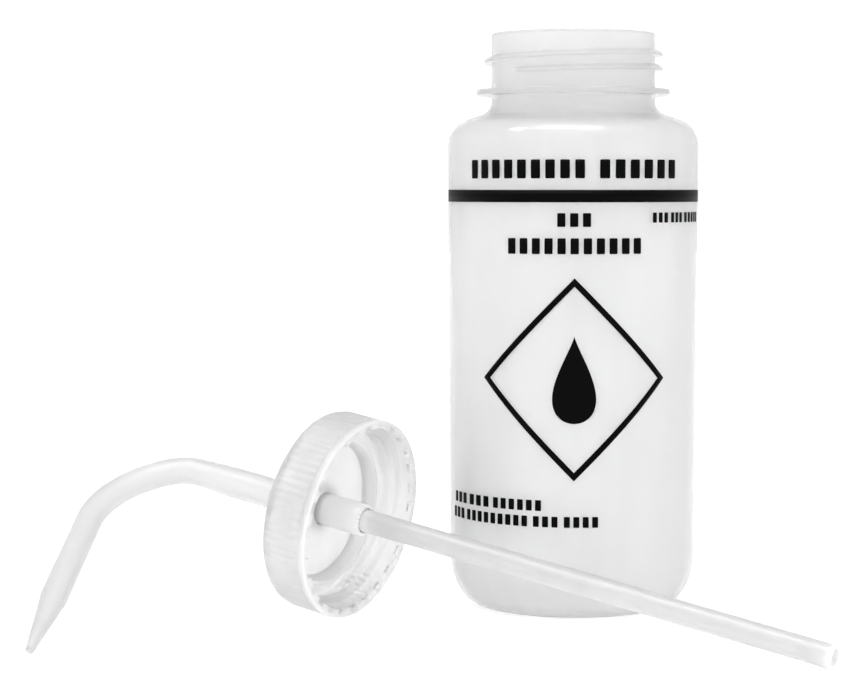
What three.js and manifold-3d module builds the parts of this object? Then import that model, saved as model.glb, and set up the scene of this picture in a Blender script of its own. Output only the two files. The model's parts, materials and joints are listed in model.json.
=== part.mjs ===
// A wide-mouth laboratory wash bottle, standing open, with its closure laid on the bench in front of it.
// Millimetres, +Z up. The origin is the centre of the bottle's flat base, and the printed side faces -Y.
// The closure is a screw cap, a bent spout that turns in the cap, and a dip tube pushed into the spout.

import * as THREE from "three";
import { mergeVertices } from "three/addons/utils/BufferGeometryUtils.js";
import Module from "manifold-3d";

const wasm = await Module();
wasm.setup();

// ---- Driving dimensions -------------------------------------------------------------------------------

// Bottle
const bottleHeight = 169.6;
const bodyRadius = 37.0; // just under the shoulder
const bodyDraft = 0.6; // how much smaller the radius is above the base corner
const bodyWall = 1.3;
const baseCornerWidth = 10.0;
const baseCornerHeight = 16.0;
const shoulderRadius = 8.5;
const shoulderSlope = THREE.MathUtils.degToRad(18);
const neckRadius = 24.1;
const neckWall = 1.4;
const neckFinishHeight = 16.5; // from the flange to the rim
const neckFlareRadius = 4.5;
const flangeReach = 4.4; // beyond the neck
const flangeThickness = 1.6;
const flangeClearance = 1.6; // plain neck under the flange

// Thread, shared by the neck and the cap
const threadPitch = 4.2;
const threadHeight = 2.2;
const threadRootWidth = 3.0;
const threadCrestWidth = 0.9;
const neckThreadTurns = 1.75;
const neckThreadStart = THREE.MathUtils.degToRad(-141); // where the lowest turn begins
const neckThreadRise = 4.4; // from the flange to the middle of the lowest turn
const capThreadTurns = 1.7;
const capThreadStart = THREE.MathUtils.degToRad(90);
const capThreadInset = 3.5; // from the cap's open end to the middle of the nearest turn
const threadClearance = 0.4;
const threadRunIn = 0.06; // of a turn, over which a ridge rises to its full height
const threadEndRise = 0.02; // of the run-in that is already there at a ridge's very end

// Screw cap
const capHeight = 14.8;
const capWall = 2.2; // of the skirt, without the ribs
const capDiscThickness = 1.5;
const capCornerRadius = 1.2;
const ribCount = 80;
const ribDepth = 0.35;
const rimBandHeight = 2.4; // smooth band at the open end
const lipEase = 0.5; // on the edges of the open end
const plugHeight = 4.2;
const plugWall = 1.6;
const plugTaper = 0.5;
const plugClearance = 0.3;

// Spout
const sleeveReach = 1.4; // how far the socket end stands out of the cap's open end
const socketWall = 1.1; // round the dip tube
const shankStep = 0.2; // how much thinner the shank is than the socket
const collarReach = 2.0; // beyond the shank
const collarThickness = 2.0;
const bendTubeRadius = 4.05;
const outletRadius = 3.85;
const tipRadius = 1.2;
const tipBore = 0.7;
const tipEase = 0.5; // how far back the tip's edge is rounded
const spoutWall = 1.3;
const shankLength = 34;
const straightLength = 43;
const firstBendRadius = 12;
const firstBend = THREE.MathUtils.degToRad(54);
const secondBendRadius = 32;
const secondBend = THREE.MathUtils.degToRad(62);
const outletLength = 67.3;
const coneLength = 26;

// Dip tube
const tubeRadius = 3.3;
const tubeWall = 0.85;
const tubeInsertion = 12;
const tubeEndGap = 9.2; // from the bench to the tube's end when the closure is screwed on the bottle

// Gaps between pieces of the closure
const fitGap = 0.3;

// Where the closure lies
const closureAzimuth = THREE.MathUtils.degToRad(-31);
const tubeToBottle = 15.7; // seen from above
const capSetBack = 6.8; // the cap's rim lies this much further back than the bottle's radius

// Facets
const bottleSides = 48;
const capSides = 48;
const tubeSides = 24;
const stepsPerTurn = 30;
const cornerSteps = 5; // in each rounded corner of the bottle
const firstBendSteps = 4;
const secondBendSteps = 7;

const lowDensity = new THREE.MeshStandardMaterial({ color: 0xe9ecec, roughness: 0.42, metalness: 0 });
const polypropylene = new THREE.MeshStandardMaterial({ color: 0xe0e3e3, roughness: 0.35, metalness: 0 });

// ---- Helpers ------------------------------------------------------------------------------------------

// A closed geometry as a manifold-3d solid.
function toSolid(geometry) {
  const bare = geometry.clone();
  bare.deleteAttribute("normal");
  bare.deleteAttribute("uv");
  const merged = mergeVertices(bare, 1e-4);
  const vertProperties = merged.getAttribute("position").array;
  const triVerts = new Uint32Array(merged.index.array);
  return new wasm.Manifold(new wasm.Mesh({ numProp: 3, vertProperties, triVerts }));
}

// A manifold-3d solid as a three.js geometry.
function toGeometry(solid) {
  const mesh = solid.getMesh();
  const geometry = new THREE.BufferGeometry();
  geometry.setAttribute("position", new THREE.BufferAttribute(mesh.vertProperties, 3));
  geometry.setIndex(new THREE.BufferAttribute(mesh.triVerts, 1));
  geometry.computeVertexNormals();
  return geometry;
}

// A profile of [radius, height] points turned round +Z.
function turned(profile, sides) {
  const points = profile.map(([radius, height]) => new THREE.Vector2(radius, height));
  return new THREE.LatheGeometry(points, sides).rotateX(Math.PI / 2);
}

// Points of an elliptical arc about a centre, from one angle to another.
function arc([centreR, centreZ], radiusR, radiusZ, from, to, steps) {
  const points = [];
  for (let i = 0; i <= steps; i += 1) {
    const angle = from + ((to - from) * i) / steps;
    points.push([centreR + radiusR * Math.cos(angle), centreZ + radiusZ * Math.sin(angle)]);
  }
  return points;
}

function named(name, geometry, material) {
  const mesh = new THREE.Mesh(geometry, material);
  mesh.name = name;
  return mesh;
}

// A right-handed thread ridge. A straight bar of trapezium section is wrapped round the wall as a helix.
// side is 1 for a ridge outside a wall and -1 for one inside it, and the ridge sinks into the wall by embed.
function threadRidge({ wallRadius, side, turns, start, height, embed }) {
  const root = threadRootWidth / 2;
  const crest = threadCrestWidth / 2;
  const section = new THREE.Shape([
    new THREE.Vector2(-root, -embed),
    new THREE.Vector2(root, -embed),
    new THREE.Vector2(root, 0),
    new THREE.Vector2(crest, threadHeight),
    new THREE.Vector2(-crest, threadHeight),
    new THREE.Vector2(-root, 0),
  ]);
  const steps = Math.ceil(turns * stepsPerTurn);
  const bar = new THREE.ExtrudeGeometry(section, { depth: turns, steps, bevelEnabled: false });
  const position = bar.getAttribute("position");
  for (let i = 0; i < position.count; i += 1) {
    const turn = position.getZ(i);
    const ends = Math.min(turn, turns - turn) / threadRunIn;
    const rise = Math.sin((Math.PI / 2) * Math.min(1, ends + threadEndRise));
    const out = position.getY(i) > 0 ? position.getY(i) * rise : position.getY(i);
    const radius = wallRadius + side * out;
    const angle = start + turn * 2 * Math.PI;
    const z = height + turn * threadPitch + side * position.getX(i);
    position.setXYZ(i, radius * Math.cos(angle), radius * Math.sin(angle), z);
  }
  return bar;
}

// ---- Bottle -------------------------------------------------------------------------------------------

// One side of the bottle's wall, from the axis at the base up to the rim. inset moves it inwards:
// 0 gives the outside, and the wall's thickness gives the inside.
function bottleSide(inset, neckInset, steps) {
  const flangeBottom = bottleHeight - neckFinishHeight - flangeThickness;
  const flareTop = flangeBottom - flangeClearance;
  const lowRadius = bodyRadius - bodyDraft - inset;
  const highRadius = bodyRadius - inset;
  const neck = neckRadius - neckInset;
  const turn = Math.PI / 2 - shoulderSlope;
  const roomForRounding = (bodyRadius - neckRadius) / (1 - Math.cos(turn));
  const ease = Math.min(1, roomForRounding / (shoulderRadius + neckFlareRadius));
  const flare = neckFlareRadius * ease + inset;
  const shoulder = shoulderRadius * ease - inset;
  const flareCentre = [neck + flare, flareTop];
  const flareEnd = [flareCentre[0] - flare * Math.cos(turn), flareTop - flare * Math.sin(turn)];
  const shoulderEnd = highRadius - shoulder + shoulder * Math.cos(turn);
  const drop = (shoulderEnd - flareEnd[0]) * Math.tan(shoulderSlope);
  const shoulderCentre = [highRadius - shoulder, flareEnd[1] - drop - shoulder * Math.sin(turn)];
  const cornerWidth = baseCornerWidth - inset;
  const cornerHeight = baseCornerHeight - inset;
  const cornerCentre = [lowRadius - cornerWidth, inset + cornerHeight];
  return [
    [0, inset],
    ...arc(cornerCentre, cornerWidth, cornerHeight, -Math.PI / 2, 0, steps),
    ...arc(shoulderCentre, shoulder, shoulder, 0, turn, steps),
    ...arc(flareCentre, flare, flare, Math.PI + turn, Math.PI, steps),
  ];
}

function makeBottle() {
  const flangeRadius = neckRadius + flangeReach;
  const flangeTop = bottleHeight - neckFinishHeight;
  const flangeBottom = flangeTop - flangeThickness;
  const outside = bottleSide(0, 0, cornerSteps);
  const inside = bottleSide(bodyWall, neckWall, cornerSteps - 1);
  const profile = [
    ...outside,
    [neckRadius, flangeBottom],
    [flangeRadius, flangeBottom],
    [flangeRadius, flangeTop],
    [neckRadius, flangeTop],
    [neckRadius, bottleHeight],
    [neckRadius - neckWall, bottleHeight],
    ...inside.reverse(),
  ];
  const shell = toSolid(turned(profile, bottleSides));
  const ridge = threadRidge({
    wallRadius: neckRadius,
    side: 1,
    turns: neckThreadTurns,
    start: neckThreadStart,
    height: flangeTop + neckThreadRise,
    embed: neckWall / 2,
  });
  return toGeometry(shell.add(toSolid(ridge)));
}

// ---- Screw cap ----------------------------------------------------------------------------------------
// The closure's own frame has its origin at the centre of the cap's outer face, with +Z towards the
// dip tube's end.

const threadCrestRadius = neckRadius + threadHeight;
const capInnerRadius = threadCrestRadius + threadClearance;
const capSkirtRadius = capInnerRadius + capWall;
const capRadius = capSkirtRadius + ribDepth;
const socketRadius = tubeRadius + fitGap;
const sleeveRadius = socketRadius + socketWall;
const shankRadius = sleeveRadius - shankStep;
const capBoreRadius = shankRadius + fitGap;
const plugRadius = neckRadius - neckWall - plugClearance;

// The ring of fine ribs round the skirt: an outline that runs in and out, with a round hole.
function ribRing() {
  const outline = [];
  for (let i = 0; i < ribCount; i += 1) {
    for (const [share, radius] of [[0, capSkirtRadius], [0.5, capRadius]]) {
      const angle = (2 * Math.PI * (i + share)) / ribCount;
      outline.push(new THREE.Vector2(radius * Math.cos(angle), radius * Math.sin(angle)));
    }
  }
  const shape = new THREE.Shape(outline);
  const hole = new THREE.Path();
  hole.absarc(0, 0, capInnerRadius + capWall / 2, 0, 2 * Math.PI, true);
  shape.holes.push(hole);
  const depth = capHeight - rimBandHeight - capCornerRadius;
  const ring = new THREE.ExtrudeGeometry(shape, { depth, bevelEnabled: false, curveSegments: capSides / 2 });
  return ring.translate(0, 0, capCornerRadius);
}

function makeCap() {
  const plugTop = capDiscThickness + plugHeight;
  const bandStart = capHeight - rimBandHeight;
  const corner = [capSkirtRadius - capCornerRadius, capCornerRadius];
  const profile = [
    [capBoreRadius, 0],
    ...arc(corner, capCornerRadius, capCornerRadius, -Math.PI / 2, 0, 3),
    [capSkirtRadius, bandStart],
    [capRadius, bandStart + lipEase],
    [capRadius, capHeight - lipEase],
    [capRadius - lipEase, capHeight],
    [capInnerRadius + lipEase, capHeight],
    [capInnerRadius, capHeight - lipEase],
    [capInnerRadius, capDiscThickness],
    [plugRadius, capDiscThickness],
    [plugRadius - plugTaper, plugTop],
    [plugRadius - plugWall, plugTop],
    [plugRadius - plugWall - plugTaper * 2, capDiscThickness],
    [capBoreRadius, capDiscThickness],
    [capBoreRadius, 0],
  ];
  const body = toSolid(turned(profile, capSides));
  const ridge = threadRidge({
    wallRadius: capInnerRadius,
    side: -1,
    turns: capThreadTurns,
    start: capThreadStart,
    height: capHeight - capThreadInset - capThreadTurns * threadPitch,
    embed: capWall / 2,
  });
  return toGeometry(body.add(toSolid(ribRing())).add(toSolid(ridge)));
}

// ---- Spout and dip tube -------------------------------------------------------------------------------

const sleeveEnd = capHeight + sleeveReach;

// The spout's centreline from the socket's mouth to the tip, in a plane. Its first coordinate runs along
// the closure's -Z, and its second is sideways.
function spoutCentreline() {
  const path = new THREE.Path();
  path.moveTo(-sleeveEnd, 0);
  path.lineTo(straightLength, 0);
  path.absarc(straightLength, firstBendRadius, firstBendRadius, -Math.PI / 2, firstBend - Math.PI / 2, false);
  const heading = new THREE.Vector2(Math.sin(firstBend), -Math.cos(firstBend));
  const centre = path.currentPoint.clone().addScaledVector(heading, -secondBendRadius);
  const from = firstBend - Math.PI / 2;
  path.absarc(centre.x, centre.y, secondBendRadius, from, from + secondBend, false);
  const total = firstBend + secondBend;
  const end = path.currentPoint.clone();
  path.lineTo(end.x + outletLength * Math.cos(total), end.y + outletLength * Math.sin(total));
  return path;
}

// The spout as a straight tube of changing section, before it is bent. Heights run from the socket's mouth.
function straightSpout(length) {
  const face = sleeveEnd; // the cap's outer face
  const bendStart = face + straightLength;
  const bendMiddle = bendStart + firstBendRadius * firstBend;
  const bendEnd = bendMiddle + secondBendRadius * secondBend;
  const coneStart = length - coneLength;
  const bends = [];
  for (let i = 0; i < firstBendSteps; i += 1) {
    bends.push(THREE.MathUtils.lerp(bendStart, bendMiddle, i / firstBendSteps));
  }
  for (let i = 0; i <= secondBendSteps; i += 1) {
    bends.push(THREE.MathUtils.lerp(bendMiddle, bendEnd, i / secondBendSteps));
  }
  const radiusAt = (height) =>
    THREE.MathUtils.lerp(bendTubeRadius, outletRadius, (height - bendStart) / (bendEnd - bendStart));
  const collarRadius = shankRadius + collarReach;
  const outer = [
    [sleeveRadius, 0],
    [sleeveRadius, face - capDiscThickness - fitGap],
    [shankRadius, face - capDiscThickness - fitGap],
    [shankRadius, face + fitGap],
    [collarRadius, face + fitGap],
    [collarRadius, face + fitGap + collarThickness],
    [shankRadius, face + fitGap + collarThickness],
    [shankRadius, face + shankLength],
    ...bends.map((height) => [radiusAt(height), height]),
    [outletRadius, coneStart],
    [tipRadius, length - tipEase],
    [tipRadius - tipEase / 2, length],
  ];
  const socketFloor = tubeInsertion + fitGap;
  const inner = [
    [socketRadius, 0],
    [socketRadius, socketFloor],
    [bendTubeRadius - spoutWall, socketFloor],
    ...bends.map((height) => [radiusAt(height) - spoutWall, height]),
    [outletRadius - spoutWall, coneStart],
    [tipBore, length],
  ];
  return turned([...outer, ...inner.reverse(), outer[0]], tubeSides);
}

// Carries each point of a straight tube to the same distance along the centreline. The lathe's +Z becomes
// the way along, its +X the sideways direction in the plane of the bend, and its Y stays square to the plane.
function bent(tube, path) {
  const length = path.getLength();
  const position = tube.getAttribute("position");
  for (let i = 0; i < position.count; i += 1) {
    const share = THREE.MathUtils.clamp(position.getZ(i) / length, 0, 1);
    const centre = path.getPoint(share);
    const along = path.getTangent(share);
    const across = position.getX(i);
    const outward = centre.x - along.y * across;
    const sideways = centre.y + along.x * across;
    position.setXYZ(i, sideways, -position.getY(i), -outward);
  }
  return tube;
}

const centreline = spoutCentreline();

function makeSpout() {
  return bent(straightSpout(centreline.getLength()), centreline);
}

const tubeStart = sleeveEnd - tubeInsertion;
const tubeEnd = capDiscThickness + bottleHeight - tubeEndGap;

function makeDipTube() {
  const profile = [
    [tubeRadius - tubeWall, tubeStart],
    [tubeRadius, tubeStart],
    [tubeRadius, tubeEnd],
    [tubeRadius - tubeWall, tubeEnd],
    [tubeRadius - tubeWall, tubeStart],
  ];
  return turned(profile, tubeSides);
}

// ---- The closure where it lies ------------------------------------------------------------------------
// It rests on three points: the cap's rim, the dip tube's end and the spout's tip.

function layDown(closure) {
  const tilt = Math.atan2(capRadius - tubeRadius, tubeEnd - capHeight);
  const faceHeight = capRadius * Math.cos(tilt) + capHeight * Math.sin(tilt);
  const tip = centreline.getPoint(1);
  const reach = faceHeight + tip.x * Math.sin(tilt) - tipRadius;
  const roll = Math.asin(reach / (tip.y * Math.cos(tilt)));
  closure.rotation.z = roll - Math.PI / 2;

  const leaned = new THREE.Group();
  leaned.rotation.y = Math.PI / 2 + tilt;
  leaned.add(closure);

  const along = new THREE.Vector2(Math.cos(closureAzimuth), Math.sin(closureAzimuth));
  const aside = new THREE.Vector2(along.y, -along.x);
  const rimBack = bodyRadius + capSetBack;
  const faceBack = rimBack + capHeight * Math.cos(tilt) - capRadius * Math.sin(tilt);
  const place = aside.multiplyScalar(bodyRadius + tubeToBottle + tubeRadius);
  place.addScaledVector(along, -faceBack);
  const laid = new THREE.Group();
  laid.position.set(place.x, place.y, faceHeight);
  laid.rotation.z = closureAzimuth;
  laid.add(leaned);
  return laid;
}

const closure = new THREE.Group();
closure.add(named("screw_cap", makeCap(), polypropylene));
closure.add(named("spout", makeSpout(), lowDensity));
closure.add(named("dip_tube", makeDipTube(), lowDensity));

const washBottle = new THREE.Group();
washBottle.add(named("bottle", makeBottle(), lowDensity));
washBottle.add(layDown(closure));

export default washBottle;
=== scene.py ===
"""A wide-mouth laboratory wash bottle, standing open, with its closure laid down in front of it.

Lengths are in metres and +Z is up. The bottle stands on its axis and its printed side faces -Y. The
closure's pieces are worked out in the closure's own frame, whose origin is the centre of the cap's outer
face and whose +Z runs towards the dip tube's end, and are then carried to where the closure lies.
"""

import json
import math

import bpy
import numpy as np
from bpy.props import FloatProperty, FloatVectorProperty, IntProperty, PointerProperty
from mathutils import Matrix, Vector


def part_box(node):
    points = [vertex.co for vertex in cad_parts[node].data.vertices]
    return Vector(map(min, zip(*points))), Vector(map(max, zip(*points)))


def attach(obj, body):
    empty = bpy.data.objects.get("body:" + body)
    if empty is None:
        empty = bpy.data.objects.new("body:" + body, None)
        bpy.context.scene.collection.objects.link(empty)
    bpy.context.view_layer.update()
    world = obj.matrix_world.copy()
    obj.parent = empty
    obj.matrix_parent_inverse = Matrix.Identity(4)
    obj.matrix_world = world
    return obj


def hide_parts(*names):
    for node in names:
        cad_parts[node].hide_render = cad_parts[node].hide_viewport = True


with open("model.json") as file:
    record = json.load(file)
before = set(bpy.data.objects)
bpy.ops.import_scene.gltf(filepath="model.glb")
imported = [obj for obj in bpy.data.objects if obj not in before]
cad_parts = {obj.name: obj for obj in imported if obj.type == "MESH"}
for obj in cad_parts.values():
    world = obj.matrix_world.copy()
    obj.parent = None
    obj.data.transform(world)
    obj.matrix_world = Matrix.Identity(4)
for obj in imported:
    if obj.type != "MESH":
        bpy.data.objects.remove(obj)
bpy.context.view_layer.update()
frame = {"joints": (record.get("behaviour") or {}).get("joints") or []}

bl_info = {
    "name": "Laboratory wash bottle",
    "version": (1, 0, 0),
    "blender": (4, 5, 0),
    "location": "3D Viewport > Sidebar > Wash Bottle",
    "description": "Builds an open wash bottle with its cap, spout and dip tube laid down beside it",
    "category": "Add Mesh",
}

BOTTLE_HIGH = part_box("bottle")[1]
TURN = next(joint for joint in frame["joints"] if joint["name"] == "cap_turn")

MM = 0.001
TAU = 2 * math.pi
SAME_POINT = 1e-7
# The small rounding of the moulded closure's edges.
ROUNDING = 0.3 * MM
# The attribute that says how solid the plastic is. It also lays painted shade on the bottle's thread and
# lip, and painted light round the cap's bore.
THICK_AND_PAINTED_LIGHT = "thick"
# A Mix node's colour sockets go by number, because its other sockets have the same names.
MIX_A, MIX_B, MIX_RESULT = 6, 7, 2


# ---- Properties ----


def length(name, description, millimetres):
    return FloatProperty(
        name=name, description=description, default=millimetres * MM, min=0, unit="LENGTH", precision=5
    )


def angle(name, description, degrees):
    return FloatProperty(
        name=name, description=description, default=math.radians(degrees), unit="ROTATION"
    )


def count(name, description, default):
    return IntProperty(name=name, description=description, default=default, min=3)


def number(name, description, default):
    return FloatProperty(name=name, description=description, default=default, min=0)


def linear(hex_code):
    """An sRGB hex colour as linear red, green and blue."""
    srgb = np.array([int(hex_code[i : i + 2], 16) for i in (1, 3, 5)]) / 255
    return tuple(np.where(srgb <= 0.04045, srgb / 12.92, ((srgb + 0.055) / 1.055) ** 2.4))


def colour(name, description, hex_code):
    return FloatVectorProperty(
        name=name, description=description, default=linear(hex_code), min=0, max=1, subtype="COLOR"
    )


class BottleSizes(bpy.types.PropertyGroup):
    height: length("Height", "From the bench to the rim", BOTTLE_HIGH.z / MM)
    radius: length("Radius", "Of the body just under the shoulder", BOTTLE_HIGH.x / MM)
    draft: length("Draft", "How much smaller the radius is above the base corner", 0.6)
    wall: length("Wall", "Thickness of the blown wall", 1.3)
    corner_width: length("Base corner width", "Across the rounded corner of the base", 10)
    corner_height: length("Base corner height", "Up the rounded corner of the base", 16)
    push_up: length("Push-up", "How far the middle of the base stands off the bench", 2.2)
    crease_height: length("Crease height", "From the bench to the faint crease in the corner", 11.6)
    crease_depth: length("Crease depth", "Of the faint crease in the base corner", 0.12)
    crease_width: length("Crease width", "From its middle to where it has mostly gone", 0.7)
    shoulder: length("Shoulder radius", "Rounding between the body and the shoulder", 8.5)
    slope: angle("Shoulder slope", "Of the short straight part of the shoulder", 18)
    flare: length("Flare radius", "Rounding between the shoulder and the neck", 4.5)
    neck: length("Neck radius", "Outside the neck, between the threads", 24.1)
    neck_wall: length("Neck wall", "Thickness of the neck", 1.4)
    finish: length("Finish height", "From the top of the flange to the rim", 16.5)
    flange_reach: length("Flange reach", "How far the flange stands out of the neck", 4.4)
    flange_thickness: length("Flange thickness", "At the flange's edge", 1.6)
    flange_clearance: length("Flange clearance", "Plain neck between the flare and the flange", 1.6)
    flange_fillet: length("Flange fillet", "Rounding where the flange meets the neck", 1.3)
    flange_edge: length("Flange edge", "Rounding of the flange's edge", 0.35)
    lip: length("Lip rounding", "Of the rim's edges", 0.55)
    ripple: length("Ripple", "How far the blown wall wanders from a true circle", 0.05)


class ThreadSizes(bpy.types.PropertyGroup):
    pitch: length("Pitch", "Rise of the ridge in one turn", 4.2)
    height: length("Height", "How far the ridge stands out of the wall", 2.2)
    neck_root: length("Neck root", "Width of the neck's ridge at the wall", 1.9)
    neck_crest: length("Neck crest", "Width of the neck's ridge at its crest", 0.6)
    neck_droop: length("Neck droop", "How far the crest of the neck's ridge hangs down", 0.8)
    neck_rise: length("Neck rise", "From the flange to the ridge at its lower end", 5.3)
    neck_start: angle("Neck start", "Where the neck's ridge begins", -141)
    neck_turns: number("Neck turns", "Turns of the neck's ridge", 1.75)
    cap_root: length("Cap root", "Width of the cap's ridge at the wall", 3.0)
    cap_crest: length("Cap crest", "Width of the cap's ridge at its crest", 0.9)
    cap_inset: length("Cap inset", "From the cap's open end to its nearest turn", 3.5)
    cap_turns: number("Cap turns", "Turns of the cap's ridge", 1.7)
    clearance: length("Clearance", "Between the neck's crest and the cap's wall", 0.4)


class CapSizes(bpy.types.PropertyGroup):
    height: length("Height", "From the outer face to the open end", 14.8)
    wall: length("Wall", "Thickness of the skirt without its ribs", 2.2)
    disc: length("Disc", "Thickness of the face", 1.5)
    corner: length("Corner radius", "Between the face and the skirt", 1.2)
    ribs: count("Ribs", "Grip ribs round the skirt", 80)
    rib_depth: length("Rib depth", "How far a rib stands out", 0.35)
    rib_rise: length("Rib rise", "Over which a rib grows out of the rounded corner", 0.8)
    rib_end: length("Rib end", "Over which a rib ends at the smooth band", 0.4)
    band: length("Band", "Height of the smooth band at the open end", 2.4)
    lip: length("Lip", "Rounding of the open end's edges", 0.4)
    plug_height: length("Plug height", "Of the sealing ring inside the face", 4.2)
    plug_wall: length("Plug wall", "Thickness of the sealing ring", 1.6)
    plug_taper: length("Plug taper", "How much the sealing ring narrows to its tip", 0.5)
    plug_clearance: length("Plug clearance", "Between the sealing ring and the neck", 0.3)
    pockets: count("Pockets", "Recesses round the open end", 26)
    pocket_depth: length("Pocket depth", "Of each recess, along the cap's axis", 1.4)
    pocket_reach: length("Pocket reach", "Of each recess, into the skirt's thickness", 1.3)
    pocket_share: number("Pocket share", "Part of the open end's circle that is recessed", 0.47)


class SpoutSizes(bpy.types.PropertyGroup):
    reach: length("Sleeve reach", "How far the socket stands out of the cap's open end", 1.4)
    notches: count("Notches", "Small notches round the socket's end", 20)
    notch_depth: length("Notch depth", "Of the notches in the socket's end", 0.45)
    sleeve: length("Sleeve radius", "Outside the socket", 4.7)
    shank: length("Shank radius", "Of the part that turns in the cap", 4.5)
    collar_reach: length("Collar reach", "How far the collar stands out of the shank", 2.0)
    collar_thickness: length("Collar thickness", "Of the collar on the cap's face", 2.0)
    bend: length("Bend radius", "Outside the tube through the bends", 4.05)
    outlet: length("Outlet radius", "Outside the straight outlet", 3.85)
    tip: length("Tip radius", "At the cut end", 1.2)
    tip_bore: length("Tip bore", "Radius of the jet", 0.7)
    tip_ease: length("Tip ease", "Rounding of the cut end", 0.5)
    wall: length("Wall", "Thickness of the tube", 1.3)
    shank_length: length("Shank length", "From the cap's face to the end of the thicker part", 34)
    straight: length("Straight length", "From the cap's face to the first bend", 43)
    first_radius: length("First bend radius", "Of the tighter bend", 12)
    first_bend: angle("First bend", "How far the tighter bend turns", 54)
    second_radius: length("Second bend radius", "Of the wider bend", 32)
    second_bend: angle("Second bend", "How far the wider bend turns", 62)
    outlet_length: length("Outlet length", "From the last bend to the tip", 67.3)
    cone: length("Cone length", "Of the drawn tip", 26)


class TubeSizes(bpy.types.PropertyGroup):
    radius: length("Radius", "Outside the dip tube", 3.3)
    wall: length("Wall", "Thickness of the dip tube", 0.85)
    insertion: length("Insertion", "How far the tube is pushed into the spout's socket", 12)
    end_gap: length("End gap", "From the bench to the tube's end on a closed bottle", 9.2)
    fit: length("Fit", "Gap between the closure's pieces", 0.3)
    ease: length("Ease", "Rounding of the cut ends", 0.12)


class PrintSizes(bpy.types.PropertyGroup):
    centre: angle("Centre", "Angle of the print's middle from the bottle's front", -2.4)
    ink: length("Ink", "Height of the ink above the wall", 0.05)
    band_low: length("Band low", "Height of the band's lower edge", 120.15)
    band_high: length("Band high", "Height of the band's upper edge", 123.65)
    rhombus_height: length("Rhombus height", "Height of the rhombus's middle", 69.8)
    rhombus_wide: length("Rhombus width", "From its middle to a side corner", 28.5)
    rhombus_tall: length("Rhombus tall", "From its middle to the top corner", 28.9)
    stroke: length("Stroke", "Width of the rhombus's line", 1.7)
    drop_wide: length("Drop width", "From the drop's middle to its side", 7.0)
    drop_tall: length("Drop tall", "From the drop's middle to its point", 12.5)
    block_share: number("Block share", "Part of a row's length that is inked", 0.64)


class Finishes(bpy.types.PropertyGroup):
    ldpe_pale: colour("LDPE pale", "Natural low-density polyethylene where it is clearest", "#F8F8F8")
    ldpe_deep: colour("LDPE deep", "Natural low-density polyethylene where it is milkiest", "#F0F0F0")
    pp_pale: colour("PP pale", "Natural polypropylene where it is clearest", "#F5F5F5")
    pp_deep: colour("PP deep", "Natural polypropylene where it is milkiest", "#EEEEEE")
    # Painted shade: this darker tint is laid on the neck's thread and on the rim's lip.
    fin_and_lip_shade: colour("LDPE fins", "The neck's fins and lip, where the plastic is seen edge on", "#D8D8D8")
    socket: colour("LDPE socket", "The thick socket that holds the dip tube", "#EDEDED")
    ink: colour("Ink", "Screen-printed black", "#040404")
    floor: colour("Floor", "The pale floor", "#F8F8F8")


GROUPS = {
    "bottle": BottleSizes,
    "thread": ThreadSizes,
    "cap": CapSizes,
    "spout": SpoutSizes,
    "tube": TubeSizes,
    "print": PrintSizes,
    "finish": Finishes,
}


def sizes(group):
    return getattr(bpy.context.scene, "wash_bottle_" + group)


# ---- Surfaces ----


def arc(centre, radii, start, end, steps):
    """Points of an arc: the centre plus the turn's cosine and sine, times one radius or one for each."""
    turn = np.linspace(start, end, steps + 1)
    return np.asarray(centre) + np.column_stack([np.cos(turn), np.sin(turn)]) * np.asarray(radii)


def rounded(corner, radius, start, end, steps):
    """A quarter circle in place of a corner, its centre a radius back from the corner both ways.

    start and end count quarter turns, and differ by one.
    """
    first, last = start * TAU / 4, end * TAU / 4
    middle = (first + last) / 2
    outwards = np.sign([math.cos(middle), math.sin(middle)])
    return arc(np.asarray(corner) - radius * outwards, radius, first, last, steps)


def line(start, end, steps):
    """Evenly spaced points from one place to another."""
    return np.linspace(start, end, steps + 1)


def section(*runs):
    """Runs of points laid end to end, with the doubled points between them left out."""
    points = np.vstack(runs)
    apart = np.linalg.norm(np.diff(points, axis=0), axis=1) > SAME_POINT
    return points[np.concatenate([[True], apart])]


def fade(value, none, full):
    """A smooth step that is 0 where the value is at none and 1 where it is at full.

    The value's share of the way from none to full is held between 0 and 1 and goes into 3x^2 - 2x^3.
    """
    x = np.clip((value - none) / (full - none), 0, 1)
    return x * x * (3 - 2 * x)


def around(columns):
    """Evenly spaced angles of a full turn, as one row."""
    return np.linspace(0, TAU, columns, endpoint=False)[None, :]


def turned(radius, height, angles):
    """A surface of revolution: each point's radius times the cosine and sine of its angle, at its height."""
    x, y = radius * np.cos(angles), radius * np.sin(angles)
    return np.stack([x, y, np.broadcast_to(height, x.shape)], axis=-1)


def closed_grid(rings, poled):
    """Points and faces of a closed surface over rings of points, each of which closes on itself.

    Neighbouring rings are joined by quads. Where poled is true, the first and last rings close onto their
    own mean points, and otherwise the last ring joins the first.
    """
    rows, columns = rings.shape[:2]
    index = np.arange(rows * columns).reshape(rows, columns)
    low, high = (index[:-1], index[1:]) if poled else (index, np.roll(index, -1, axis=0))
    quads = np.stack([low, np.roll(low, -1, 1), np.roll(high, -1, 1), high], axis=-1).reshape(-1, 4)
    points = rings.reshape(-1, 3)
    if not poled:
        return points, quads, np.empty((0, 3), int)
    first, last = index[0], index[-1]
    start, end = np.full(columns, rows * columns), np.full(columns, rows * columns + 1)
    fans = [[np.roll(first, -1), first, start], [last, np.roll(last, -1), end]]
    points = np.vstack([points, rings[0].mean(0), rings[-1].mean(0)])
    return points, quads, np.concatenate([np.stack(fan, axis=-1) for fan in fans])


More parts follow.
